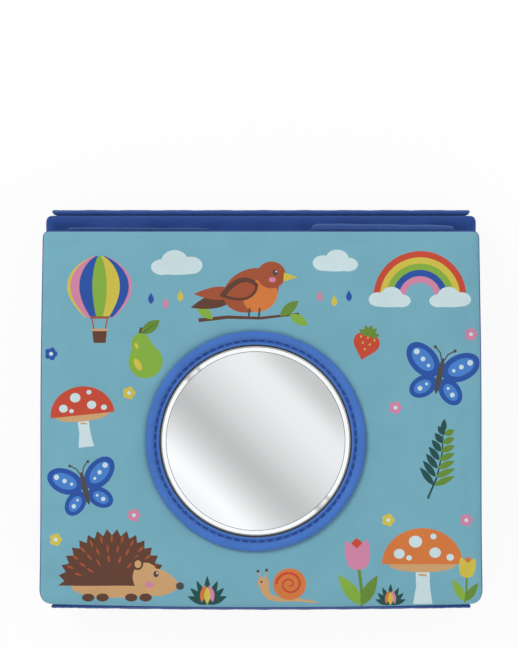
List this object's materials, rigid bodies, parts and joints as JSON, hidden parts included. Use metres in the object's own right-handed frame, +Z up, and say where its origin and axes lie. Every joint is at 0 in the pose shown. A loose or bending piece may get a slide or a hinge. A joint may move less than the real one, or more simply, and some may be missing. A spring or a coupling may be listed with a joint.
{
  "type": "soft cloth baby book with mirror",
  "caption": "Soft padded cloth book whose panels fold out like a zigzag or stand as a tent, with a round mirror in the cover.",
  "frame": {"origin": "centre of the closed book's box, at the height of the surface it lies on", "axes": "+Z up out of the cover, +X along the panels' width to the right as the cover is read, +Y towards the cover's free upper edge"},
  "size_m": [0.1816, 0.1638, 0.0369],
  "materials": {
    "teal_cloth": "printed woven polyester, matt",
    "cobalt_cloth": "plain woven polyester, matt",
    "ring_cloth": "padded binding, stitched",
    "page_cloth": "printed woven polyester, matt",
    "padding": "soft polyester padding",
    "mirror": "silvered acrylic, bevelled rim",
    "board": "stiff backing sheet",
    "film": "thin crackling film",
    "grip": "gripping strip with a rolled edge"
  },
  "bodies": {
    "middle_panel": {"middle_upper_page": "page_cloth", "middle_lower_page": "page_cloth", "middle_edge_band": "cobalt_cloth", "middle_upper_foam": "padding", "middle_lower_foam": "padding", "crinkle_film": "film"},
    "cover_fold": {"cover_fold_cloth": "cobalt_cloth"},
    "cover_panel": {"cover_front_cloth": "teal_cloth", "cover_inner_page": "page_cloth", "cover_edge_band": "cobalt_cloth", "cover_foam": "padding", "mirror_plate": "mirror", "mirror_backing_board": "board", "mirror_ring": "ring_cloth", "cover_closure_strip_left": "grip", "cover_closure_strip_right": "grip"},
    "back_fold": {"back_fold_cloth": "cobalt_cloth"},
    "back_panel": {"back_upper_page": "page_cloth", "back_lower_page": "page_cloth", "back_edge_band": "cobalt_cloth", "back_foam": "padding", "back_closure_strip_left": "grip", "back_closure_strip_right": "grip"}
  },
  "joints": [
    {"name": "cover_fold_turn", "type": "hinge", "parent": "middle_panel", "child": "cover_fold", "pos_m": [0, -0.0805, 0.0172], "axis": [1, 0, 0], "range_deg": [0, 90]},
    {"name": "cover_turn", "type": "hinge", "parent": "cover_fold", "child": "cover_panel", "pos_m": [0, -0.0805, 0.0288], "axis": [1, 0, 0], "range_deg": [0, 90]},
    {"name": "back_fold_turn", "type": "hinge", "parent": "middle_panel", "child": "back_fold", "pos_m": [0, 0.0805, 0.0172], "axis": [1, 0, 0], "range_deg": [0, 150]},
    {"name": "back_turn", "type": "hinge", "parent": "back_fold", "child": "back_panel", "pos_m": [0, 0.0805, 0.0056], "axis": [1, 0, 0], "range_deg": [0, 150]}
  ],
  "couplings": [
    {"joint": "cover_turn", "follows": "cover_fold_turn", "ratio": 1},
    {"joint": "back_turn", "follows": "back_fold_turn", "ratio": 1}
  ]
}
